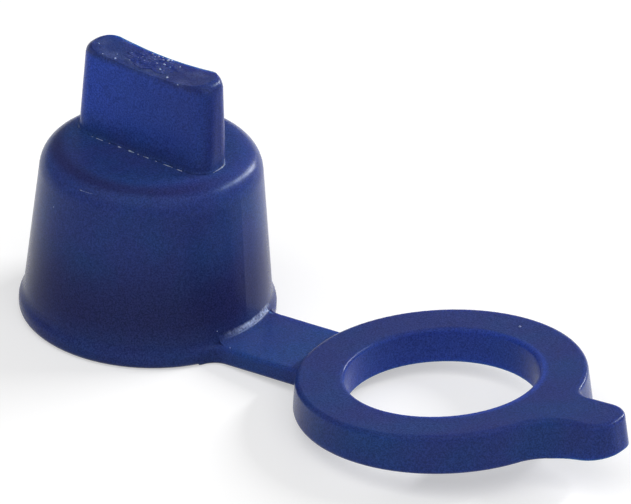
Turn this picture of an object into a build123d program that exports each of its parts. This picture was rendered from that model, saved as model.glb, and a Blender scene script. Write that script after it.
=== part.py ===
from build123d import *
import math
import os

os.makedirs("parts", exist_ok=True)

# A push-on cap for a grease fitting, moulded in one piece from soft plastic. A cup covers the fitting's
# head, and a fin on its closed end is the grip. A flat strap ties it to a ring that is slipped round the
# fitting's body, and a tab on the ring's far side pulls the ring on.
# Millimetres. The cup stands on its open end: its axis is Z, its mouth is at z = 0 and the strap
# leaves it towards +X.

# Cup
base_radius = 6.4
flange_height = 0.7
flange_step = 0.23
flange_slope_height = 0.45
wall_draft = 5.6
cup_height = 9.15
shoulder_radius = 1.38
foot_edge_radius = 0.38
flange_edge_radius = 0.45
cove_radius = 0.9

# Hollow in the cup: a wide mouth over the fitting's hexagon, then a socket that grips its head
mouth_radius = 4.7
mouth_depth = 2.6
socket_radius = 3.2
socket_depth = 7.2
socket_roof_radius = 0.6

# Grip fin on the cup's closed end, narrower at its top
fin_root_length = 8.1
fin_root_thickness = 2.4
fin_top_length = 7.85
fin_top_thickness = 2.0
fin_top_height = 13.85
fin_end_radius = 0.9
fin_corner_radius = 0.65
fin_dip = 0.33
fin_dip_length = 7.4
fin_edge_radius = 0.2
fin_foot_radius = 0.15
fin_foot_steps = 4
fin_rounding_steps = 6
fin_embed = 1.0

# Strap, ring and tab, lifted by the strap's bend from the level of the mouth
hinge_x = 5.9
tether_lift = 5.0
strap_width = 4.65
strap_thickness = 0.95
strap_edge_radius = 0.2
strap_cup_fillet = 0.5
strap_root_reach = 1.2
strap_cup_flare = 0.9
strap_ring_flare = 0.6
strap_flare_dip = 0.01
strap_root_dip = 0.02
strap_embed = 0.25
ring_reach = 12.1
ring_base_radius = 7.25
ring_hole_radius = 4.73
ring_height = 1.86
ring_top_slope = 1.6
ring_trim = 0.7
ring_draft = 6.0
ring_edge_radius = 0.26
ring_foot_radius = 0.25
ring_hole_edge_radius = 0.2
tab_length = 3.22
tab_width = 3.1
tab_tip_radius = 1.35
tab_left_root_radius = 0.8
tab_right_root_radius = 2.4
tab_foot_rise = 0.5

# Where the drafted wall would meet the flange's slope and the cup's top
wall_slope = math.tan(math.radians(wall_draft))
flange_slope_top = flange_height + flange_slope_height
wall_foot_radius = base_radius - flange_step
wall_top_radius = wall_foot_radius - (cup_height - flange_slope_top) * wall_slope
wall_middle_radius = (mouth_radius + base_radius) / 2

# The underside of the strap, ring and tab is one plane that turns up at the hinge line, in the cup's base
lift = math.radians(tether_lift)
tether_plane = Plane(
    origin=(hinge_x, 0, 0),
    x_dir=(math.cos(lift), 0, math.sin(lift)),
    z_dir=(-math.sin(lift), 0, math.cos(lift)),
)
top_lift = math.radians(tether_lift + ring_top_slope)
ring_top_plane = Plane(
    origin=tether_plane.from_local_coords((ring_reach, 0, ring_height)),
    x_dir=(math.cos(top_lift), 0, math.sin(top_lift)),
    z_dir=(-math.sin(top_lift), 0, math.cos(top_lift)),
)
tether_side_plane = Plane(origin=tether_plane.origin, x_dir=tether_plane.x_dir, z_dir=(0, -1, 0))
ring_taper = math.tan(math.radians(ring_draft))
tab_root_x = ring_reach + ring_base_radius
tab_tip_x = tab_root_x + tab_length
tab_rise = (tab_tip_x - ring_reach) * math.tan(math.radians(ring_top_slope))
ring_over_height = ring_height + tab_rise + ring_trim

# Fin: a drafted blade with round ends and a small flare at its foot. Above the blade the outline steps in
# along a quarter of an ellipse, so that the top's corners and its rim are softly round.
with BuildPart() as fin:
    for step in range(1, fin_foot_steps + 1):
        angle = math.radians(90 * step / fin_foot_steps)
        outset = fin_foot_radius * (1 - math.sin(angle))
        foot_rise = fin_foot_radius * (1 - math.cos(angle)) if step > 1 else -fin_embed
        with BuildSketch(Plane.XY.offset(cup_height + foot_rise)):
            RectangleRounded(
                fin_root_length + 2 * outset,
                fin_root_thickness + 2 * outset,
                fin_end_radius + outset,
            )
    loft(ruled=True)
    with BuildSketch(Plane.XY.offset(cup_height + fin_foot_radius)):
        RectangleRounded(fin_root_length, fin_root_thickness, fin_end_radius)
    with BuildSketch(Plane.XY.offset(fin_top_height - fin_corner_radius)):
        RectangleRounded(fin_top_length, fin_top_thickness, fin_end_radius)
    loft()
    for step in range(fin_rounding_steps + 1):
        angle = math.radians(90 * step / fin_rounding_steps)
        inset = fin_corner_radius * (1 - math.cos(angle))
        rim_drop = fin_corner_radius * (1 - math.sin(angle))
        rim_reach = min(rim_drop, fin_edge_radius)
        rim_inset = fin_edge_radius - math.sqrt(fin_edge_radius**2 - (fin_edge_radius - rim_reach) ** 2)
        with BuildSketch(Plane.XY.offset(fin_top_height - rim_drop)):
            RectangleRounded(
                fin_top_length - 2 * inset,
                fin_top_thickness - 2 * rim_inset,
                fin_end_radius - rim_inset,
            )
    loft()
    with BuildSketch(Plane.XZ):
        with BuildLine():
            ThreePointArc(
                (-fin_dip_length / 2, fin_top_height),
                (0, fin_top_height - fin_dip),
                (fin_dip_length / 2, fin_top_height),
            )
            Line((-fin_dip_length / 2, fin_top_height), (fin_dip_length / 2, fin_top_height))
        make_face()
    extrude(amount=fin_root_thickness, both=True, mode=Mode.SUBTRACT)

# Ring and tab: one drafted outline, cut off by a top plane that slopes up a little towards the tab. The
# tab's underside rises towards its tip, where a thumb lifts it.
with BuildPart() as ring:
    for height in (0, ring_over_height):
        inset = height * ring_taper
        with BuildSketch(tether_plane.offset(height)) as ring_outline:
            with Locations((ring_reach, 0)):
                Circle(ring_base_radius - inset)
            with Locations(((ring_reach + tab_tip_x - inset) / 2, 0)):
                Rectangle(tab_tip_x - inset - ring_reach, tab_width - 2 * inset)
            fillet(ring_outline.vertices().group_by(Axis.X)[-1], tab_tip_radius - inset)
            tab_right_root = ring_outline.vertices().group_by(Axis.Y)[0].sort_by(Axis.X)[0]
            fillet(tab_right_root, tab_right_root_radius + inset)
            tab_left_root = ring_outline.vertices().group_by(Axis.Y)[-1].sort_by(Axis.X)[0]
            fillet(tab_left_root, tab_left_root_radius + inset)
    loft()
    split(bisect_by=ring_top_plane, keep=Keep.BOTTOM)
    fillet(ring.faces().filter_by(ring_top_plane).edges(), ring_edge_radius)
    fillet(ring.faces().filter_by(tether_plane).edges(), ring_foot_radius)
    with BuildSketch(tether_plane):
        with Locations((ring_reach, 0)):
            Circle(ring_hole_radius)
    extrude(amount=ring_over_height, mode=Mode.SUBTRACT)
    ring_top = ring.faces().filter_by(ring_top_plane)[0]
    fillet(ring_top.inner_wires()[0].edges(), ring_hole_edge_radius)
    with BuildSketch(tether_side_plane):
        with BuildLine():
            Polyline(
                (tab_root_x, 0),
                (tab_tip_x, tab_foot_rise),
                (tab_tip_x, -tab_foot_rise),
                close=True,
            )
        make_face()
    extrude(amount=tab_width, both=True, mode=Mode.SUBTRACT)

# Strap: a flat slab whose sides flare into the ring's wall and into the cup's base. Each flare dips a hair
# into what it meets, so that the two meet in a clean line. The slab is cut off inside the ring and in the
# middle of the cup's wall.
flare_turn = math.asin((strap_width / 2 + strap_ring_flare) / (ring_base_radius + strap_ring_flare))
strap_end_x = ring_reach - ring_base_radius * math.cos(flare_turn) + strap_embed
strap_end_plane = Plane(
    origin=tether_plane.from_local_coords((strap_end_x, 0, 0)),
    z_dir=tether_plane.x_dir,
)
strap_root_plane = Plane.YZ.offset(wall_middle_radius)
with BuildPart() as strap:
    for height in (0, strap_thickness):
        inset = height * ring_taper
        with BuildSketch(tether_plane.offset(height)) as strap_outline:
            with Locations((ring_reach, 0)):
                Circle(ring_base_radius - strap_flare_dip - inset)
            with Locations((-hinge_x, 0)):
                Circle(base_radius - strap_flare_dip)
            with Locations(((ring_reach - hinge_x) / 2, 0)):
                Rectangle(ring_reach + hinge_x, strap_width)
            fillet(strap_outline.vertices().group_by(Axis.X)[-1], strap_ring_flare + inset)
            fillet(strap_outline.vertices().group_by(Axis.X)[0], strap_cup_flare)
    loft()
    strap_foot = strap.faces().filter_by(tether_plane).sort_by(Axis.Z)[0]
    fillet(strap_foot.edges(), ring_foot_radius)
    strap_top = strap.faces().filter_by(tether_plane).sort_by(Axis.Z)[-1]
    fillet(strap_top.edges(), strap_edge_radius)
    split(bisect_by=strap_end_plane, keep=Keep.BOTTOM)
    split(bisect_by=strap_root_plane, keep=Keep.TOP)

# Fillet between the strap's top and the cup's wall, turned round the cup's axis. Its outline keeps a hair
# inside the wall and the strap, so that only the fillet stands out. Radii are x here, heights are z.
wall_x_at_zero = wall_foot_radius + flange_slope_top * wall_slope - strap_root_dip
strap_z_at_axis = strap_thickness / math.cos(lift) - hinge_x * math.tan(lift) - strap_root_dip
root_z = (strap_z_at_axis + wall_x_at_zero * math.tan(lift)) / (1 + wall_slope * math.tan(lift))
root_x = wall_x_at_zero - wall_slope * root_z
root_reach = strap_root_reach * strap_cup_fillet
root_low_z = strap_thickness / 2
root_turn = math.asin((strap_width / 2 - strap_edge_radius) / (root_x + root_reach))
root_plane = Plane(
    origin=(0, 0, 0),
    x_dir=(math.cos(root_turn), -math.sin(root_turn), 0),
    z_dir=(-math.sin(root_turn), -math.cos(root_turn), 0),
)
with BuildPart() as strap_root:
    with BuildSketch(root_plane):
        with BuildLine():
            FilletPolyline(
                (wall_middle_radius, root_z + root_reach),
                (root_x - root_reach * wall_slope, root_z + root_reach),
                (root_x, root_z),
                (root_x + root_reach, root_z + root_reach * math.tan(lift)),
                (root_x + root_reach, root_low_z),
                radius=[0, strap_cup_fillet, 0],
            )
            Polyline(
                (root_x + root_reach, root_low_z),
                (wall_middle_radius, root_low_z),
                (wall_middle_radius, root_z + root_reach),
            )
        make_face()
    revolve(axis=Axis.Z, revolution_arc=2 * math.degrees(root_turn))

# The cap, in one piece: the cup turned about Z, the tether and the fin, then the hollow
with BuildPart() as grease_fitting_cap:
    with BuildSketch(Plane.XZ):
        with BuildLine():
            FilletPolyline(
                (0, 0),
                (base_radius, 0),
                (base_radius, flange_height),
                (wall_foot_radius, flange_slope_top),
                (wall_top_radius, cup_height),
                (0, cup_height),
                radius=[foot_edge_radius, flange_edge_radius, cove_radius, shoulder_radius],
            )
            Line((0, cup_height), (0, 0))
        make_face()
    revolve(axis=Axis.Z)
    add(strap.part)
    add(ring.part)
    add(strap_root.part)
    split(bisect_by=Plane.XY, keep=Keep.TOP)
    add(fin.part)
    with BuildSketch(Plane.XZ):
        with BuildLine():
            FilletPolyline(
                (0, 0),
                (mouth_radius, 0),
                (mouth_radius, mouth_depth),
                (socket_radius, mouth_depth),
                (socket_radius, socket_depth),
                (0, socket_depth),
                radius=[0, 0, 0, socket_roof_radius],
            )
            Line((0, socket_depth), (0, 0))
        make_face()
    revolve(axis=Axis.Z, mode=Mode.SUBTRACT)

grease_fitting_cap.part.label = "grease_fitting_cap"
export_step(grease_fitting_cap.part, "parts/grease_fitting_cap.step")
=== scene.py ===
import math
import random

import bpy
from mathutils import Matrix, Quaternion, Vector, noise
from mathutils.bvhtree import BVHTree


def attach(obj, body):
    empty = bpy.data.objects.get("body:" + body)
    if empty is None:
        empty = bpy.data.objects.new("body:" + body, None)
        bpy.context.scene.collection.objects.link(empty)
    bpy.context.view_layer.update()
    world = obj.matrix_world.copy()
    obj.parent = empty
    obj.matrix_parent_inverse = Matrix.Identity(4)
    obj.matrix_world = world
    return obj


bl_info = {
    "name": "Grease Fitting Cap",
    "version": (1, 0, 0),
    "blender": (4, 5, 0),
    "location": "View3D > Sidebar > Grease Fitting Cap",
    "description": "Gives a moulded grease fitting cap its plastic, gate scar, flash and studio",
    "category": "Object",
}

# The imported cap, in metres: the cup's axis is Z, its mouth is at z = 0 and the strap leaves it along +X
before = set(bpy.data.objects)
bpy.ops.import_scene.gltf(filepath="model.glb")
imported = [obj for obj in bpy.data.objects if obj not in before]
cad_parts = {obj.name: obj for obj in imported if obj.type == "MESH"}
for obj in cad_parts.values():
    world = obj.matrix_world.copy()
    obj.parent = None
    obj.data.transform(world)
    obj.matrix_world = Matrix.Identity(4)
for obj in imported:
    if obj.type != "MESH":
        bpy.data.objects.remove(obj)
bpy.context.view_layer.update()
CAP = "grease_fitting_cap"
BODY = "root"
MM = 0.001

# Mesh attributes: how white the plastic is, from 0 to 1, where it was stretched and where the thin lines
# paint a highlight, and how wide a torn bit is
WHITE = "white"
WIDTH = "width"

# Torn bits of plastic as X, Y, Z and width in millimetres. Each one is set on the nearest surface.
# On the fin's top, around the gate scar
FLECKS = (
    (-3.15, -0.35, 13.76, 0.08),
    (-2.45, -0.94, 13.62, 0.07),
    (-1.74, -0.86, 13.62, 0.11),
    (-1.94, -0.46, 13.63, 0.07),
    (-1.00, 0.00, 13.55, 0.08),
    (-0.71, 0.82, 13.54, 0.09),
    (-0.45, 0.66, 13.54, 0.08),
    (-0.33, 0.78, 13.54, 0.14),
    (-0.10, 0.84, 13.54, 0.09),
    (0.08, 0.62, 13.54, 0.13),
    (0.26, 0.78, 13.54, 0.19),
    (0.39, 0.88, 13.54, 0.14),
    (0.39, 0.30, 13.54, 0.16),
    (0.55, -0.26, 13.54, 0.13),
    (1.37, -0.76, 13.58, 0.13),
    (1.15, 0.56, 13.56, 0.08),
    (2.22, -0.97, 13.57, 0.08),
)
# Elsewhere: on the ring's top, the cup's wall, the rim at its foot and the strap
SPECKS = (
    (18.25, 5.92, 2.90, 0.14),
    (-1.94, -5.21, 7.12, 0.06),
    (5.77, -1.98, 1.59, 0.055),
    (6.68, -2.10, 1.02, 0.055),
)
# Where flash clings to the foot of the fin's near side, as X, length and thickness in millimetres
FLASH = (
    (-2.73, 0.15, 0.03),
    (-2.24, 0.40, 0.05),
    (-1.62, 0.10, 0.04),
    (-1.00, 0.14, 0.08),
    (-0.26, 0.28, 0.08),
    (0.15, 0.10, 0.06),
    (0.62, 0.32, 0.05),
    (1.25, 0.10, 0.04),
    (1.98, 0.55, 0.05),
    (2.68, 0.32, 0.06),
)
# Thin white lines elsewhere, which paint a highlight, each one through places of X, Y, Z and thickness in
# millimetres
HIGHLIGHT_LINES = (
    # A painted highlight round the foot of the fin, at the strap's end
    (
        (4.08, -0.45, 9.16, 0.03),
        (4.10, -0.14, 9.15, 0.05),
        (4.10, 0.10, 9.15, 0.07),
        (4.09, 0.35, 9.18, 0.08),
        (4.05, 0.52, 9.22, 0.08),
        (4.02, 0.56, 9.30, 0.06),
        (4.01, 0.56, 9.50, 0.03),
    ),
    # A painted highlight streak on the cup's shoulder
    (
        (-0.42, -5.19, 8.60, 0.01),
        (-0.29, -5.20, 8.60, 0.045),
        (-0.13, -5.21, 8.61, 0.02),
        (0.22, -5.19, 8.63, 0.025),
        (0.40, -5.17, 8.64, 0.01),
    ),
)

# The gate scar's mesh has this many spokes and rings of points
SCAR_SPOKES = 150
SCAR_RINGS = 40
# Its rim lies this deep under the fin's top, and its closed underside comes to a point this far down
SCAR_SUNK = 0.05 * MM
SCAR_ROOT = 0.3 * MM
# Its lowest torn parts stand this far above the fin's top
SCAR_LEAST = 0.006 * MM
# Its outline's slow and quick waves: how far they reach, as part of its size, and how often they come
SLOW_WAVES = (0.28, 2.1)
QUICK_WAVES = (0.12, 6.0)
# Roughness, lacunarity and octaves of the noise that its ridges follow, how much narrower a ridge is across
# the fin than along it, how sharp it is, and which slice of the noise it comes from
RIDGE_NOISE = (0.9, 2.1, 3)
RIDGE_NARROWER = 1.5
RIDGE_SHARPNESS = 1.8
RIDGE_SLICE = 4.0
# Where the scar starts to fade, as part of the way from its middle to its rim
SCAR_FADE = 0.78
# Its white flecks and its faint haze: the width of one patch, the part of the noise that they come from,
# and the noise's values where a patch begins and where it is full
FLECK_WIDTH = 0.13 * MM
FLECK_SHIFT = (7.3, 1.9, 5.1)
FLECK_RANGE = (0.5, 0.75)
HAZE_WIDTH = 0.7 * MM
HAZE_SHIFT = (2.6, 8.2, 3.4)
HAZE_RANGE = (0.0, 0.5)
# How white the haze is where it is full
HAZE_WHITE = 0.07
# The scar stays this close to the fin's middle plane, on the top between its round edges
FIN_HALF_WIDTH = 0.98 * MM
# Height above the whole cap, from which the fin's top is looked for
OVERHEAD = 20 * MM

# Depth of the pits in the mould's grain
GRAIN_DEPTH = 0.005 * MM
# How far light bleeds into the moulding, and into the torn bits, which are smaller than that
MOULDING_BLEED = 2.0 * MM
TORN_BLEED = 0.1 * MM
# Size of the tatters on a torn bit
TATTER = 0.07 * MM
# The widths of the slivers vary between these parts of the width that is given, in the flash and in the
# thin lines of painted highlight, and this seed draws both
FLASH_SPREAD = (0.6, 1.3)
LINE_SPREAD = (0.8, 1.2)
SPREAD_SEED = 11

# The ring's middle along X in millimetres, and how steeply its top rises along +X
RING_X = 18.0
RING_SLOPE = 0.1157
# Patches that come and go all over the moulding: the size of one in millimetres, the noise's detail, the
# noise's values where a patch begins and where it is full, and how much it covers outside and inside
PATCHES = {
    # Pigment that is unevenly mixed
    "clouds": (3.0, 2.0, 0.4, 0.7, 0.0, 0.4),
    # Fine cracks that break up the whitened crease
    "crazing": (0.2, 1.0, 0.35, 0.6, 0.25, 1.0),
    # Haze, for the fin's top
    "haze": (0.9, 3.0, 0.48, 0.66, 0.0, 0.2),
}
# Regions of the moulding: what the region follows, where it begins and where it is full in millimetres, and
# how much it covers outside and inside
REGIONS = {
    # The near side of the shoulder, outside the cup's flat top, where shade is painted
    "past_top": ("from_axis", 4.1, 4.6, 0.0, 0.65),
    "within_edge": ("from_axis", 5.1, 4.8, 0.0, 1.0),
    "near_side": ("y", 1.0, -2.5, 0.0, 1.0),
    # The fin's top and its end towards the strap, where shade is painted, and its sides, where light is
    # painted, most of all at the free end
    "fin_top": ("z", 13.35, 13.55, 0.0, 0.35),
    "above_foot": ("z", 9.2, 10.6, 0.0, 1.0),
    "strap_end": ("x", 3.6, 4.0, 0.0, 0.85),
    "below_top": ("z", 13.5, 13.2, 0.0, 1.0),
    "to_free_end": ("x", 4.5, -4.5, 0.2, 1.0),
    # The ring's top, where shade is painted, and the wall of its hole, where light is painted
    "near_ring_top": ("ring_level", 0.62, 0.78, 0.0, 0.28),
    "past_cup": ("x", 7.0, 8.0, 0.0, 1.0),
    "hole_wall": ("from_hole", 5.0, 4.8, 0.0, 0.45),
    # The lower part of the cup, above its lip and short of the strap, where shade is painted
    "on_cup": ("x", 6.6, 6.0, 0.0, 1.0),
    "above_lip": ("z", 0.6, 2.2, 0.4, 1.0),
    "low_down": ("z", 7.0, 2.8, 0.0, 0.8),
    # The crease on the cup's wall at the strap's root, whitened by bending, with a painted highlight in its
    # white
    "by_strap": ("x", 5.65, 5.9, 0.0, 1.0),
    "along_root": ("y", -1.7, 0.1, 0.0, 1.0),
    "on_wall": ("from_axis", 6.32, 6.22, 0.0, 1.0),
    "above_root": ("z", 1.08, 1.2, 0.0, 1.0),
    "below_crease": ("z", 1.44, 1.32, 0.0, 1.0),
}
# Regions that begin and end softly
SOFT_REGIONS = {"low_down"}
# Masks made from two others, which are patches, regions or masks that stand above them
MASKS = {
    # Painted shade round the shoulder's near side, on the fin's top and end, and on the ring's top
    "past_and_within": ("past_top", "MULTIPLY", "within_edge"),
    "shoulder": ("past_and_within", "MULTIPLY", "near_side"),
    "fin_end": ("above_foot", "MULTIPLY", "strap_end"),
    "fin_painted_shade": ("fin_top", "MAXIMUM", "fin_end"),
    "shoulder_and_fin_painted_shade": ("shoulder", "MAXIMUM", "fin_painted_shade"),
    "ring_top": ("near_ring_top", "MULTIPLY", "past_cup"),
    "painted_shade": ("shoulder_and_fin_painted_shade", "MAXIMUM", "ring_top"),
    # Painted light on the fin's sides, most at its free end, and on the wall of the ring's hole
    "fin_sides": ("above_foot", "MULTIPLY", "below_top"),
    "fin_painted_glow": ("fin_sides", "MULTIPLY", "to_free_end"),
    "painted_glow": ("fin_painted_glow", "MAXIMUM", "hole_wall"),
    # Painted shade low on the cup, above its lip
    "cup_wall": ("on_cup", "MULTIPLY", "above_lip"),
    "low_cup_painted_shade": ("cup_wall", "MULTIPLY", "low_down"),
    # The whitened crease at the strap's root, whose white is partly a painted highlight
    "crease": ("above_root", "MULTIPLY", "below_crease"),
    "root_corner": ("by_strap", "MULTIPLY", "along_root"),
    "root_wall": ("root_corner", "MULTIPLY", "on_wall"),
    "hinge_white_and_highlight": ("crease", "MULTIPLY", "root_wall"),
    "stretched": ("hinge_white_and_highlight", "MULTIPLY", "crazing"),
    "hazy_top": ("fin_top", "MULTIPLY", "haze"),
    "pale": ("stretched", "MAXIMUM", "hazy_top"),
}
# Colours that are laid over the plastic's own one after the other, each where its mask says
LAYERS = (
    ("clouds", "mottle_colour"),
    # Painted shade, painted light, more painted shade low on the cup, and stress white with a painted
    # highlight
    ("painted_shade", "painted_shade_colour"),
    ("painted_glow", "painted_glow_colour"),
    ("low_cup_painted_shade", "painted_shade_colour"),
    ("pale", "white_and_highlight_colour"),
)

# The floor reaches this far each way, in metres. It lies just under the cap, so that the cap's rim and the
# floor aren't in one plane.
FLOOR_REACH = 3.0
FLOOR_LEVEL = -0.01 * MM
# Soft boxes: azimuth, elevation and tilt in degrees, then distance, width and height in metres
FRONT_SOFT_BOX = (20, 60, 0, 0.8, 1.4, 0.7)
BACK_SOFT_BOX = (158, 27, -45, 0.5, 0.46, 0.03)
# The camera's sensor in millimetres, and the nearest and farthest that it sees in metres
SENSOR_WIDTH = 36.0
CLIP_START = 0.01
CLIP_END = 10.0


def linear(hex_colour):
    """An sRGB hex colour as linear red, green and blue."""
    channels = [int(hex_colour[i:i + 2], 16) / 255 for i in (1, 3, 5)]
    return [c / 12.92 if c <= 0.04045 else ((c + 0.055) / 1.055) ** 2.4 for c in channels]


def add_node(tree, kind, inputs=None, **settings):
    """Adds a node with its settings. Each input is given a value, or an output that is linked to it."""
    node = tree.nodes.new(kind)
    for name, value in settings.items():
        setattr(node, name, value)
    for name, value in (inputs or {}).items():
        socket = node.inputs[name]
        if isinstance(value, bpy.types.NodeSocket):
            tree.links.new(value, socket)
        else:
            socket.default_value = value
    return node


def smooth(none, full, value):
    """0 at none, 1 at full, and a smooth step between them, whichever of the two is higher."""
    t = min(1.0, max(0.0, (value - none) / (full - none)))
    return t * t * (3 - 2 * t)


class CapFinish(bpy.types.PropertyGroup):
    """Colours and surface of the moulded plastic."""
    colour: bpy.props.FloatVectorProperty(
        name="Plastic", description="Colour of the plastic", subtype="COLOR",
        size=3, min=0, max=1, default=linear("#39498F"))
    pit_shade: bpy.props.FloatProperty(
        name="Grain Pits", description="How much of the colour shows in the pits of the grain",
        subtype="FACTOR", min=0, max=1, default=0.52)
    # Painted light: the bright colour laid on the fin's free end and in the ring's hole, standing in for
    # light that bleeds through
    painted_glow_colour: bpy.props.FloatVectorProperty(
        name="Glow", description="Colour where light bleeds through: the fin's free end and the ring's hole",
        subtype="COLOR", size=3, min=0, max=1, default=linear("#3E5CCA"))
    mottle_colour: bpy.props.FloatVectorProperty(
        name="Mottle", description="Colour of the cloudy patches where the pigment is unevenly mixed",
        subtype="COLOR", size=3, min=0, max=1, default=linear("#275A9A"))
    # Painted shade: the dark colour laid low on the cup, round its shoulder, at the fin's end and on the
    # tops of the fin and the ring
    painted_shade_colour: bpy.props.FloatVectorProperty(
        name="Deep", description="Colour where the plastic is thick, or where the dark hollow is behind it",
        subtype="COLOR", size=3, min=0, max=1, default=linear("#2F2F63"))
    torn_colour: bpy.props.FloatVectorProperty(
        name="Torn Plastic", description="Colour of the plastic where the gate was torn off",
        subtype="COLOR", size=3, min=0, max=1, default=linear("#2E3E88"))
    # Stress white, which also paints the highlight in the crease at the strap's root and on the thin lines
    white_and_highlight_colour: bpy.props.FloatVectorProperty(
        name="Stress White", description="Colour of plastic that was stretched until it turned white",
        subtype="COLOR", size=3, min=0, max=1, default=linear("#B6C6F0"))
    highlight_colour: bpy.props.FloatVectorProperty(
        name="Highlight", description="Tint of the highlights, which pass through a thin waxy skin",
        subtype="COLOR", size=3, min=0, max=1, default=linear("#B4D8FF"))
    # A real grain is 0.02 to 0.03 mm wide, which is too fine to show. It is drawn coarser, so that it shows.
    grain: bpy.props.FloatProperty(
        name="Grain", description="Width of one grain of the mould's spark texture",
        subtype="DISTANCE", unit="LENGTH", default=0.08 * MM)
    roughness: bpy.props.FloatProperty(
        name="Roughness", description="Roughness of the plastic", subtype="FACTOR",
        min=0, max=1, default=0.24)


class ScarSettings(bpy.types.PropertyGroup):
    """The torn gate mark on the fin's top."""
    centre: bpy.props.FloatVectorProperty(
        name="Centre", description="Middle of the scar on the fin's top", subtype="TRANSLATION",
        size=2, default=(-0.15 * MM, 0.02 * MM))
    length: bpy.props.FloatProperty(
        name="Length", description="Length of the scar along the fin",
        subtype="DISTANCE", unit="LENGTH", default=3.5 * MM)
    width: bpy.props.FloatProperty(
        name="Width", description="Width of the scar across the fin",
        subtype="DISTANCE", unit="LENGTH", default=1.6 * MM)
    height: bpy.props.FloatProperty(
        name="Height", description="Height of the highest torn ridge",
        subtype="DISTANCE", unit="LENGTH", default=0.04 * MM)
    tear: bpy.props.FloatProperty(
        name="Tear", description="From one torn ridge to the next",
        subtype="DISTANCE", unit="LENGTH", default=0.8 * MM)


class FlashSettings(bpy.types.PropertyGroup):
    """The broken line of flash along the foot of the fin."""
    offset: bpy.props.FloatProperty(
        name="Offset", description="From the fin's middle plane to the flash",
        subtype="DISTANCE", unit="LENGTH", default=1.3 * MM)
    level: bpy.props.FloatProperty(
        name="Level", description="Height of the fin's foot above the cap's mouth",
        subtype="DISTANCE", unit="LENGTH", default=9.16 * MM)
    step: bpy.props.FloatProperty(
        name="Step", description="From one sliver of the flash or of a torn line to the next",
        subtype="DISTANCE", unit="LENGTH", default=0.05 * MM)


class StudioSettings(bpy.types.PropertyGroup):
    """Camera, floor and lights."""
    azimuth: bpy.props.FloatProperty(
        name="Azimuth", description="Camera's turn about the cap: 0 looks along +Y",
        subtype="ANGLE", default=math.radians(35.34))
    elevation: bpy.props.FloatProperty(
        name="Elevation", description="Camera's angle above the floor",
        subtype="ANGLE", default=math.radians(28.86))
    roll: bpy.props.FloatProperty(
        name="Roll", description="Camera's turn about its own line of sight",
        subtype="ANGLE", default=math.radians(2.366))
    distance: bpy.props.FloatProperty(
        name="Distance", description="From the camera to the point that it looks at",
        subtype="DISTANCE", unit="LENGTH", default=336.96 * MM)
    aim: bpy.props.FloatVectorProperty(
        name="Aim", description="The point that the camera looks at",
        subtype="TRANSLATION", size=3, default=(3.034 * MM, 9.92 * MM, 0))
    lens: bpy.props.FloatProperty(
        name="Lens", description="Focal length in millimetres", unit="CAMERA", default=381.02)
    floor_colour: bpy.props.FloatVectorProperty(
        name="Floor", description="Colour of the floor", subtype="COLOR",
        size=3, min=0, max=1, default=linear("#D0D0D0"))
    floor_lift: bpy.props.FloatProperty(
        name="Floor Lift", description="Added where the floor is seen, so that it shows white",
        min=0, default=0.45)
    room_light: bpy.props.FloatProperty(
        name="Room Light", description="Even light from all sides: 1 is white",
        min=0, default=0.25)
    front_light: bpy.props.FloatProperty(
        name="Front Light", description="How bright the wide front soft box is: 1 is white",
        min=0, default=1.36)
    back_light: bpy.props.FloatProperty(
        name="Back Light", description="How bright the thin soft box behind is: 1 is white",
        min=0, default=54.0)


def new_material(name):
    """An empty material, and its node tree."""
    material = bpy.data.materials.new(name)
    material.use_nodes = True
    material.node_tree.nodes.clear()
    return material, material.node_tree


def polyethylene(tree, finish, place, colour, bleed):
    """Ends the tree with low-density polyethylene of that colour, with the grain that the mould's
    spark-eroded wall left. Light bleeds that far into it."""
    # The same noise shades and dents the surface, so that its pits are darker
    grain = add_node(tree, "ShaderNodeTexNoise", {
        "Vector": place, "Scale": 1 / finish.grain, "Detail": 2.0, "Roughness": 0.7}).outputs["Fac"]
    shade = add_node(tree, "ShaderNodeMapRange", {
        "Value": grain, "From Min": 0.36, "From Max": 0.64, "To Min": finish.pit_shade})
    grained = add_node(tree, "ShaderNodeMix", {
        "Factor": 1.0, "A": colour, "B": shade.outputs["Result"]},
        data_type="RGBA", blend_type="MULTIPLY")
    bump = add_node(tree, "ShaderNodeBump", {"Height": grain, "Strength": 1.0, "Distance": GRAIN_DEPTH})
    shader = add_node(tree, "ShaderNodeBsdfPrincipled", {
        "Base Color": grained.outputs["Result"],
        "Roughness": finish.roughness,
        "IOR": 1.51,
        "Specular IOR Level": 0.09,
        "Specular Tint": (*finish.highlight_colour, 1),
        "Subsurface Weight": 0.4,
        "Subsurface Radius": (0.2, 0.4, 1.0),
        "Subsurface Scale": bleed,
        "Normal": bump.outputs["Normal"],
    })
    add_node(tree, "ShaderNodeOutputMaterial", {"Surface": shader.outputs["BSDF"]})


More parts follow.
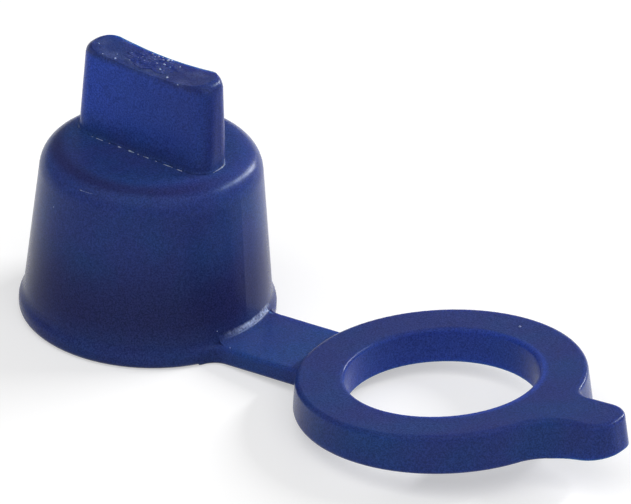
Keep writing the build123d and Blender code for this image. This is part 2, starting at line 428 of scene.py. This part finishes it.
def moulded_polyethylene(finish):
    """Soft polyethylene, pigmented dark blue and moulded against a spark-eroded wall. It gives the eye a
    satin, waxy, cloudy blue, whose highlights break up in a fine grain. Painted light brightens it at the
    fin's free end and in the ring's hole, standing in for light that bleeds through. Painted shade darkens
    it low on the cup, round its shoulder, at the fin's end towards the strap, and on the tops of the fin and
    the ring. The crease at the strap's root is whitened, because it was bent, with a painted highlight in
    its white, and the fin's top is a little hazy."""
    material, tree = new_material("moulded_blue_polyethylene")
    place = add_node(tree, "ShaderNodeTexCoord").outputs["Object"]
    parts = add_node(tree, "ShaderNodeSeparateXYZ", {"Vector": place}).outputs
    plan = add_node(tree, "ShaderNodeCombineXYZ", {"X": parts["X"], "Y": parts["Y"]}).outputs["Vector"]
    from_axis = add_node(tree, "ShaderNodeVectorMath", {0: plan}, operation="LENGTH")
    from_hole = add_node(tree, "ShaderNodeVectorMath", {
        0: plan, 1: (RING_X * MM, 0, 0)}, operation="DISTANCE")
    ring_level = add_node(tree, "ShaderNodeMath", {
        0: parts["X"], 1: -RING_SLOPE, 2: parts["Z"]}, operation="MULTIPLY_ADD")
    followed = {
        "x": parts["X"],
        "y": parts["Y"],
        "z": parts["Z"],
        "from_axis": from_axis.outputs["Value"],
        "from_hole": from_hole.outputs["Value"],
        "ring_level": ring_level.outputs["Value"],
    }
    masks = {}
    for name, (size, detail, begins, full, outside, inside) in PATCHES.items():
        patches = add_node(tree, "ShaderNodeTexNoise", {
            "Vector": place, "Scale": 1 / (size * MM), "Detail": detail})
        masks[name] = add_node(tree, "ShaderNodeMapRange", {
            "Value": patches.outputs["Fac"], "From Min": begins, "From Max": full,
            "To Min": outside, "To Max": inside}).outputs["Result"]
    for name, (measure, begins, full, outside, inside) in REGIONS.items():
        masks[name] = add_node(tree, "ShaderNodeMapRange", {
            "Value": followed[measure], "From Min": begins * MM, "From Max": full * MM,
            "To Min": outside, "To Max": inside},
            interpolation_type="SMOOTHSTEP" if name in SOFT_REGIONS else "LINEAR").outputs["Result"]
    for name, (first, operation, second) in MASKS.items():
        masks[name] = add_node(tree, "ShaderNodeMath", {
            0: masks[first], 1: masks[second]}, operation=operation).outputs["Value"]
    colour = (*finish.colour, 1)
    for mask, layer in LAYERS:
        colour = add_node(tree, "ShaderNodeMix", {
            "Factor": masks[mask], "A": colour, "B": (*getattr(finish, layer), 1)},
            data_type="RGBA").outputs["Result"]
    polyethylene(tree, finish, place, colour, MOULDING_BLEED)
    return material


def torn_and_highlight_polyethylene(finish):
    """The same plastic where it was torn. It gives the eye a darker, ragged patch with pale flecks, because
    the stretched plastic turns white. Its white also paints the highlight on the thin lines."""
    material, tree = new_material("torn_and_highlight_blue_polyethylene")
    place = add_node(tree, "ShaderNodeTexCoord").outputs["Object"]
    stretched = add_node(tree, "ShaderNodeAttribute", attribute_name=WHITE)
    colour = add_node(tree, "ShaderNodeMix", {
        "Factor": stretched.outputs["Fac"], "A": (*finish.torn_colour, 1), "B": (*finish.white_and_highlight_colour, 1)},
        data_type="RGBA")
    polyethylene(tree, finish, place, colour.outputs["Result"], TORN_BLEED)
    return material


class CAP_OT_moulding(bpy.types.Operator):
    """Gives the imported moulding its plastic"""
    bl_idname = "cap.moulding"
    bl_label = "Moulding"

    def execute(self, context):
        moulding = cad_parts[CAP]
        moulding.data.materials.clear()
        moulding.data.materials.append(moulded_polyethylene(context.scene.cap_finish))
        return {"FINISHED"}


def cap_surface():
    """The moulding's surface, for finding the place of what sits on it."""
    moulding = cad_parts[CAP]
    corners = [moulding.matrix_world @ v.co for v in moulding.data.vertices]
    return BVHTree.FromPolygons(corners, [tuple(p.vertices) for p in moulding.data.polygons])


def ride_cap(mesh):
    """Puts a mesh on the cap, as an object at the origin with the mesh's name."""
    piece = bpy.data.objects.new(mesh.name, mesh)
    bpy.context.scene.collection.objects.link(piece)
    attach(piece, BODY)


def scar_point(scar, surface, ring, spoke):
    """A point of the gate scar, and how white it is. The scar's rim lies just under the fin's top."""
    angle = math.tau * spoke / SCAR_SPOKES
    across = Vector((math.cos(angle), math.sin(angle), 0))
    ragged = 1.0
    for reach, often in (SLOW_WAVES, QUICK_WAVES):
        ragged += reach * noise.noise(across * often)
    out = ring / SCAR_RINGS
    x = scar.centre[0] + across.x * out * ragged * scar.length / 2
    y = scar.centre[1] + across.y * out * ragged * scar.width / 2
    y = max(-FIN_HALF_WIDTH, min(FIN_HALF_WIDTH, y))
    top = surface.ray_cast(Vector((x, y, OVERHEAD)), Vector((0, 0, -1)))[0]
    if top is None:
        raise RuntimeError("The gate scar reaches past the fin's top")
    place = Vector((x / scar.tear, RIDGE_NARROWER * y / scar.tear, RIDGE_SLICE))
    ridge = 1 - min(1, RIDGE_SHARPNESS * abs(noise.fractal(place, *RIDGE_NOISE)))
    inside = smooth(1.0, SCAR_FADE, out)
    height = -SCAR_SUNK + inside * (SCAR_SUNK + SCAR_LEAST + scar.height * ridge ** 2)
    fleck = noise.noise(Vector((x, y, 0)) / FLECK_WIDTH + Vector(FLECK_SHIFT))
    cloud = noise.noise(Vector((x, y, 0)) / HAZE_WIDTH + Vector(HAZE_SHIFT))
    haze = HAZE_WHITE * smooth(*HAZE_RANGE, cloud)
    white = max(haze, smooth(*FLECK_RANGE, fleck)) * inside
    return top + Vector((0, 0, height)), white


class CAP_OT_gate_scar(bpy.types.Operator):
    """Raises the ragged scar that the torn gate left on the fin's top"""
    bl_idname = "cap.gate_scar"
    bl_label = "Gate Scar"

    def execute(self, context):
        scar = context.scene.cap_scar
        surface = cap_surface()
        found = [scar_point(scar, surface, 0, 0)]
        for ring in range(1, SCAR_RINGS + 1):
            found += [scar_point(scar, surface, ring, spoke) for spoke in range(SCAR_SPOKES)]
        found.append((found[0][0] - Vector((0, 0, SCAR_ROOT)), 0.0))
        # The first point is the middle, the rings follow from the inside out, and the last is the underside
        bottom = len(found) - 1
        rim = bottom - SCAR_SPOKES
        faces = []
        for spoke in range(SCAR_SPOKES):
            following = (spoke + 1) % SCAR_SPOKES
            faces.append((0, 1 + spoke, 1 + following))
            for inner in range(1, rim, SCAR_SPOKES):
                outer = inner + SCAR_SPOKES
                faces.append((inner + spoke, outer + spoke, outer + following, inner + following))
            faces.append((rim + spoke, bottom, rim + following))
        mesh = bpy.data.meshes.new("gate_scar")
        mesh.from_pydata([place for place, _ in found], [], faces)
        whites = [white for _, white in found]
        mesh.attributes.new(WHITE, "FLOAT", "POINT").data.foreach_set("value", whites)
        mesh.materials.append(torn_and_highlight_polyethylene(context.scene.cap_finish))
        mesh.shade_smooth()
        ride_cap(mesh)
        return {"FINISHED"}


def torn_bits_tree():
    """A Geometry Nodes tree that sets one torn bit of plastic on each point: an oval bead, turned at random
    and made ragged by a noise. A point's attribute says how wide its bit is, and another, which the bit
    keeps, how white it is."""
    tree = bpy.data.node_groups.new("torn_bits", "GeometryNodeTree")
    for name, kind in (
            ("Points", "Geometry"), ("Shape", "Vector"), ("Turn", "Float"),
            ("Ragged", "Float"), ("Seed", "Int"), ("Material", "Material")):
        tree.interface.new_socket(name, in_out="INPUT", socket_type="NodeSocket" + kind)
    tree.interface.new_socket("Bits", in_out="OUTPUT", socket_type="NodeSocketGeometry")
    given = add_node(tree, "NodeGroupInput")
    # A bead one across, which the point's width then scales
    bead = add_node(tree, "GeometryNodeMeshIcoSphere", {"Radius": 0.5, "Subdivisions": 3})
    oval = add_node(tree, "GeometryNodeTransform", {
        "Geometry": bead.outputs["Mesh"], "Scale": given.outputs["Shape"]})
    least = add_node(tree, "ShaderNodeMath", {0: given.outputs["Turn"], 1: -1.0}, operation="MULTIPLY")
    turn = add_node(tree, "FunctionNodeRandomValue", {
        "Min": least.outputs["Value"], "Max": given.outputs["Turn"], "Seed": given.outputs["Seed"]},
        data_type="FLOAT_VECTOR")
    rotation = add_node(tree, "FunctionNodeEulerToRotation", {"Euler": turn.outputs["Value"]})
    width = add_node(tree, "GeometryNodeInputNamedAttribute", {"Name": WIDTH}, data_type="FLOAT")
    bits = add_node(tree, "GeometryNodeInstanceOnPoints", {
        "Points": given.outputs["Points"], "Instance": oval.outputs["Geometry"],
        "Rotation": rotation.outputs["Rotation"], "Scale": width.outputs["Attribute"]})
    solid = add_node(tree, "GeometryNodeRealizeInstances", {"Geometry": bits.outputs["Instances"]})
    rough = add_node(tree, "ShaderNodeTexNoise", {"Scale": 1 / TATTER, "Detail": 1.0})
    # The noise's colour lies about a middle grey, so taking that off lets a bit shrink as well as swell
    middle = add_node(tree, "ShaderNodeVectorMath", {
        0: rough.outputs["Color"], 1: (0.5, 0.5, 0.5)}, operation="SUBTRACT")
    shift = add_node(tree, "ShaderNodeVectorMath", {
        0: middle.outputs["Vector"], "Scale": given.outputs["Ragged"]}, operation="SCALE")
    ragged = add_node(tree, "GeometryNodeSetPosition", {
        "Geometry": solid.outputs["Geometry"], "Offset": shift.outputs["Vector"]})
    finished = add_node(tree, "GeometryNodeSetMaterial", {
        "Geometry": ragged.outputs["Geometry"], "Material": given.outputs["Material"]})
    add_node(tree, "NodeGroupOutput", {"Bits": finished.outputs["Geometry"]})
    return tree


def torn_bits(name, bits, tree, **inputs):
    """Makes a piece of torn bits, each given as a place and a width, on the nearest parts of the cap. The
    Geometry Nodes tree makes them with the inputs of those names, and the piece is a plain mesh."""
    surface = cap_surface()
    points = bpy.data.meshes.new(name + "_points")
    points.from_pydata([surface.find_nearest(place)[0] for place, _ in bits], [], [])
    for attribute, values in ((WIDTH, [width for _, width in bits]), (WHITE, [1.0] * len(bits))):
        points.attributes.new(attribute, "FLOAT", "POINT").data.foreach_set("value", values)
    holder = bpy.data.objects.new(name + "_points", points)
    bpy.context.scene.collection.objects.link(holder)
    modifier = holder.modifiers.new("torn_bits", "NODES")
    modifier.node_group = tree
    for socket in tree.interface.items_tree:
        if socket.name in inputs:
            modifier[socket.identifier] = inputs[socket.name]
    evaluated = holder.evaluated_get(bpy.context.evaluated_depsgraph_get())
    mesh = bpy.data.meshes.new_from_object(evaluated)
    mesh.name = name
    bpy.data.objects.remove(holder)
    ride_cap(mesh)


class CAP_OT_flecks(bpy.types.Operator):
    """Sets the white flecks of torn plastic around the gate scar, and the few that are elsewhere"""
    bl_idname = "cap.flecks"
    bl_label = "Flecks"

    def execute(self, context):
        tree = torn_bits_tree()
        material = torn_and_highlight_polyethylene(context.scene.cap_finish)
        for name, flecks in (("gate_flecks", FLECKS), ("stray_specks", SPECKS)):
            bits = [(Vector(fleck[:3]) * MM, fleck[3] * MM) for fleck in flecks]
            torn_bits(name, bits, tree, Material=material,
                      Shape=(1.1, 0.9, 0.7), Turn=math.pi, Ragged=0.05 * MM, Seed=3)
        return {"FINISHED"}


def flash_slivers(flash, chance):
    """The slivers of flash along the foot of the fin's near side, each as a place and a width."""
    slivers = []
    for x, length, thickness in FLASH:
        count = max(1, round(length * MM / flash.step))
        for i in range(count):
            along = x * MM + (i + 0.5 - count / 2) * flash.step
            place = Vector((along, -flash.offset, flash.level))
            slivers.append((place, thickness * MM * chance.uniform(*FLASH_SPREAD)))
    return slivers


def highlight_line_slivers(flash, chance):
    """The slivers of the thin white lines of painted highlight, each as a place and a width."""
    slivers = []
    for line in HIGHLIGHT_LINES:
        for start, end in zip(line, line[1:]):
            span = Vector(end) - Vector(start)
            count = max(1, round(span.xyz.length * MM / flash.step))
            for i in range(count):
                spot = Vector(start) + span * (i + 0.5) / count
                slivers.append((spot.xyz * MM, spot.w * MM * chance.uniform(*LINE_SPREAD)))
    return slivers


class CAP_OT_root_flash(bpy.types.Operator):
    """Lays the flash along the foot of the fin's near side, and the thin white lines of painted highlight
    elsewhere
    """
    bl_idname = "cap.root_flash"
    bl_label = "Root Flash"

    def execute(self, context):
        flash = context.scene.cap_flash
        tree = torn_bits_tree()
        material = torn_and_highlight_polyethylene(context.scene.cap_finish)
        chance = random.Random(SPREAD_SEED)
        torn_bits("root_flash", flash_slivers(flash, chance), tree, Material=material,
                  Shape=(1.5, 0.8, 0.8), Turn=0.4, Ragged=0.03 * MM, Seed=5)
        torn_bits("painted_highlight_lines", highlight_line_slivers(flash, chance), tree, Material=material,
                  Shape=(1.2, 1.0, 1.0), Turn=math.pi, Ragged=0.02 * MM, Seed=7)
        return {"FINISHED"}


def outwards(azimuth, elevation):
    """The direction from the cap at that azimuth and elevation: 0 is along -Y and a quarter turn is +X."""
    level = math.cos(elevation)
    return Vector((math.sin(azimuth) * level, -math.cos(azimuth) * level, math.sin(elevation)))


def soft_box(name, radiance, azimuth, elevation, tilt, distance, width, height):
    """A soft box that faces the cap and is tilted about the line to it. A radiance of 1 shows as white."""
    light = bpy.data.lights.new(name, "AREA")
    light.shape = "RECTANGLE"
    light.size = width
    light.size_y = height
    light.energy = radiance * math.pi * width * height
    lamp = bpy.data.objects.new(name, light)
    out = outwards(math.radians(azimuth), math.radians(elevation))
    lamp.location = out * distance
    facing = out.to_track_quat("Z", "Y") @ Quaternion((0, 0, 1), math.radians(tilt))
    lamp.rotation_euler = facing.to_euler()
    bpy.context.scene.collection.objects.link(lamp)


class CAP_OT_studio(bpy.types.Operator):
    """Lays the floor and sets the lights and the camera"""
    bl_idname = "cap.studio"
    bl_label = "Studio"

    def execute(self, context):
        studio = context.scene.cap_studio
        self.lay_floor(context, studio)
        self.set_lights(context, studio)
        self.set_camera(context, studio)
        return {"FINISHED"}

    def lay_floor(self, context, studio):
        """Lays the floor, which isn't part of the cap."""
        corners = [
            (-FLOOR_REACH, -FLOOR_REACH, FLOOR_LEVEL), (FLOOR_REACH, -FLOOR_REACH, FLOOR_LEVEL),
            (FLOOR_REACH, FLOOR_REACH, FLOOR_LEVEL), (-FLOOR_REACH, FLOOR_REACH, FLOOR_LEVEL)]
        mesh = bpy.data.meshes.new("floor")
        mesh.from_pydata(corners, [], [(0, 1, 2, 3)])
        floor = bpy.data.objects.new("floor", mesh)
        context.scene.collection.objects.link(floor)
        mesh.materials.append(self.matte_white_paper(studio))

    def matte_white_paper(self, studio):
        """Uncoated white paper. It gives the eye an even white with the cap's faint soft shadow on it."""
        material, tree = new_material("matte_white_paper")
        paper = add_node(tree, "ShaderNodeBsdfDiffuse", {"Color": (*studio.floor_colour, 1)})
        path = add_node(tree, "ShaderNodeLightPath")
        mirrored = add_node(tree, "ShaderNodeMath", {
            0: path.outputs["Is Camera Ray"], 1: path.outputs["Is Glossy Ray"]}, operation="MAXIMUM")
        seen = add_node(tree, "ShaderNodeMath", {
            0: mirrored.outputs["Value"], 1: path.outputs["Is Transmission Ray"]}, operation="MAXIMUM")
        strength = add_node(tree, "ShaderNodeMath", {
            0: seen.outputs["Value"], 1: studio.floor_lift}, operation="MULTIPLY")
        lift = add_node(tree, "ShaderNodeEmission", {
            "Color": (1, 1, 1, 1), "Strength": strength.outputs["Value"]})
        both = add_node(tree, "ShaderNodeAddShader", {
            0: paper.outputs["BSDF"], 1: lift.outputs["Emission"]})
        add_node(tree, "ShaderNodeOutputMaterial", {"Surface": both.outputs["Shader"]})
        return material

    def set_lights(self, context, studio):
        """Sets even room light, a wide soft box in front, and a thin one behind that draws the streaks."""
        world = bpy.data.worlds.new("studio")
        world.use_nodes = True
        tree = world.node_tree
        tree.nodes.clear()
        fill = add_node(tree, "ShaderNodeBackground", {
            "Color": (1, 1, 1, 1), "Strength": studio.room_light})
        add_node(tree, "ShaderNodeOutputWorld", {"Surface": fill.outputs["Background"]})
        context.scene.world = world
        soft_box("front_soft_box", studio.front_light, *FRONT_SOFT_BOX)
        soft_box("back_soft_box", studio.back_light, *BACK_SOFT_BOX)

    def set_camera(self, context, studio):
        """Sets the camera at the photograph's viewing angle."""
        back = outwards(studio.azimuth, studio.elevation)
        level = outwards(studio.azimuth + math.radians(90), 0)
        upright = back.cross(level)
        right = level * math.cos(studio.roll) + upright * math.sin(studio.roll)
        up = back.cross(right)
        camera_data = bpy.data.cameras.new("camera")
        camera_data.sensor_fit = "HORIZONTAL"
        camera_data.sensor_width = SENSOR_WIDTH
        camera_data.lens = studio.lens
        camera_data.clip_start = CLIP_START
        camera_data.clip_end = CLIP_END
        camera = bpy.data.objects.new("camera", camera_data)
        context.scene.collection.objects.link(camera)
        turn = Matrix((right, up, back)).transposed().to_4x4()
        camera.matrix_world = Matrix.Translation(Vector(studio.aim) + back * studio.distance) @ turn
        context.scene.camera = camera


OPERATORS = (CAP_OT_moulding, CAP_OT_gate_scar, CAP_OT_flecks, CAP_OT_root_flash, CAP_OT_studio)
GROUPS = {
    "cap_finish": CapFinish,
    "cap_scar": ScarSettings,
    "cap_flash": FlashSettings,
    "cap_studio": StudioSettings,
}


class CAP_PT_panel(bpy.types.Panel):
    """Lists the cap's settings and operators"""
    bl_label = "Grease Fitting Cap"
    bl_idname = "CAP_PT_panel"
    bl_space_type = "VIEW_3D"
    bl_region_type = "UI"
    bl_category = "Grease Fitting Cap"

    def draw(self, context):
        layout = self.layout
        for name, group in GROUPS.items():
            box = layout.box()
            for setting in group.__annotations__:
                box.prop(getattr(context.scene, name), setting)
        for operator in OPERATORS:
            layout.operator(operator.bl_idname)


CLASSES = (*GROUPS.values(), *OPERATORS, CAP_PT_panel)


def register():
    for cls in CLASSES:
        bpy.utils.register_class(cls)
    for name, group in GROUPS.items():
        setattr(bpy.types.Scene, name, bpy.props.PointerProperty(type=group))


def unregister():
    for name in GROUPS:
        delattr(bpy.types.Scene, name)
    for cls in reversed(CLASSES):
        bpy.utils.unregister_class(cls)


def main():
    register()
    bpy.context.scene.view_settings.view_transform = "Standard"
    bpy.ops.cap.moulding()
    bpy.ops.cap.gate_scar()
    bpy.ops.cap.flecks()
    bpy.ops.cap.root_flash()
    bpy.ops.cap.studio()
    bpy.context.view_layer.update()


if __name__ == "__main__":
    main()
